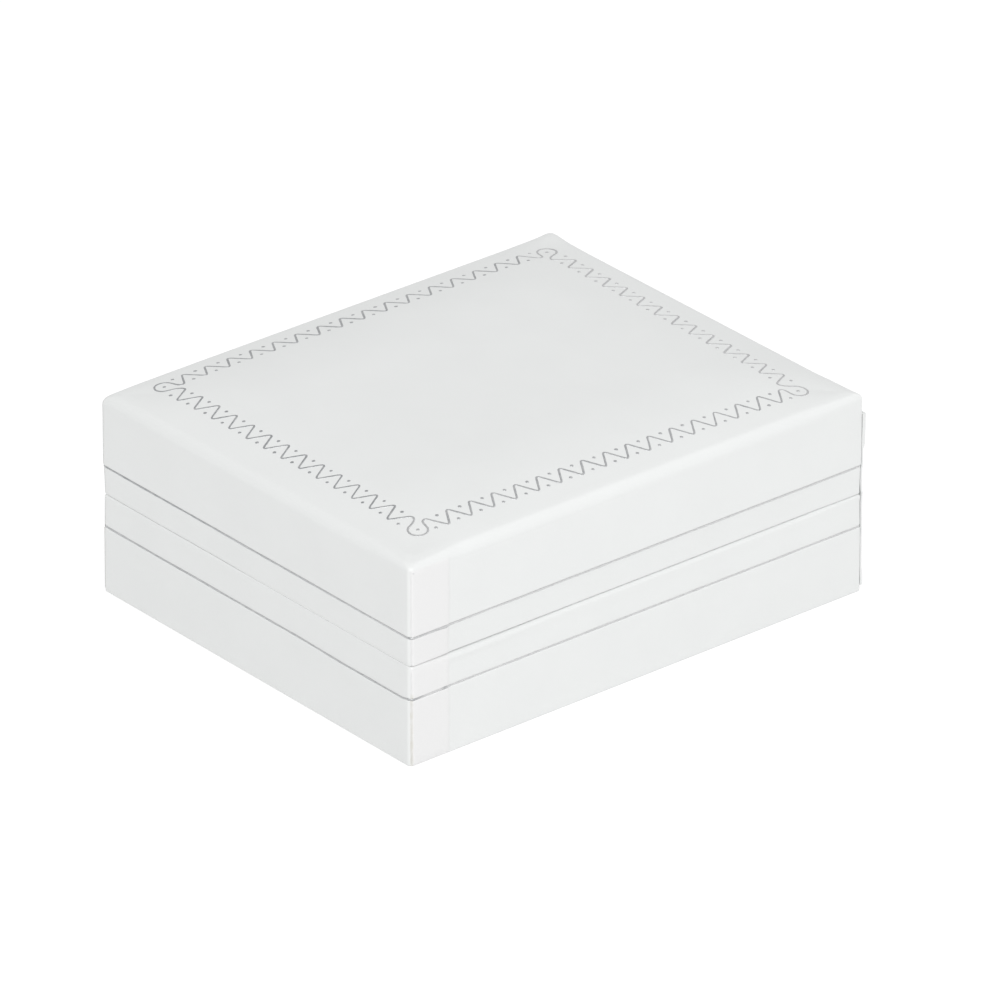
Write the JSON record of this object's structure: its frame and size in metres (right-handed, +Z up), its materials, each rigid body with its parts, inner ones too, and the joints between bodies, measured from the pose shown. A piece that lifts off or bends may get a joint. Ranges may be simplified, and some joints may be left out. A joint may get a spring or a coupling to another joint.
{
  "type": "jewelry gift box",
  "caption": "Leatherette-covered clamshell jewelry gift box with a snap-hinged padded lid, foil line and wave border, satin lid lining and lift-out velvet insert.",
  "frame": {"origin": "middle of the case's flat underside", "axes": "+X along the hinge line, +Y from the opening edge to the hinge side, +Z up"},
  "size_m": [0.073, 0.089, 0.0354],
  "materials": {
    "leatherette": "white grained leatherette with a soft satin sheen",
    "silver_foil": "hot-stamped silver foil",
    "shell_plastic": "moulded white polystyrene",
    "satin": "white satin",
    "velvet": "white short-pile velvet",
    "wadding": "soft white wadding",
    "foam": "open-cell foam",
    "card": "grey-white board",
    "bottom_paper": "embossed white lining paper",
    "hinge_steel": "nickel-plated pressed steel",
    "spring_steel": "bright spring wire"
  },
  "bodies": {
    "base": {"base_shell": "shell_plastic", "base_cover": "leatherette", "base_bottom_sheet": "bottom_paper", "base_foil_line": "silver_foil", "base_wall_liner": "velvet", "hinge_leaf_base": "hinge_steel", "hinge_pin": "spring_steel", "hinge_spring": "spring_steel", "spine_strip": "leatherette"},
    "lid": {"lid_shell": "shell_plastic", "lid_cover": "leatherette", "lid_top_pad": "wadding", "lid_border_wave": "silver_foil", "lid_border_dots": "silver_foil", "lid_foil_line": "silver_foil", "lid_lining_card": "card", "lid_lining_wadding": "wadding", "lid_lining_satin": "satin", "lid_wall_liner": "satin", "hinge_leaf_lid": "hinge_steel"},
    "insert": {"insert_card": "card", "insert_foam": "foam", "insert_velvet": "velvet"}
  },
  "joints": [
    {"name": "lid_hinge", "type": "hinge", "parent": "base", "child": "lid", "pos_m": [0, 0.0437, 0.0166], "axis": [-1, 0, 0], "range_deg": [0, 100], "deforming": ["spine_strip", "hinge_spring"]},
    {"name": "insert_lift", "type": "slide", "parent": "base", "child": "insert", "axis": [0, 0, 1], "range_m": [0, 0.008]}
  ]
}
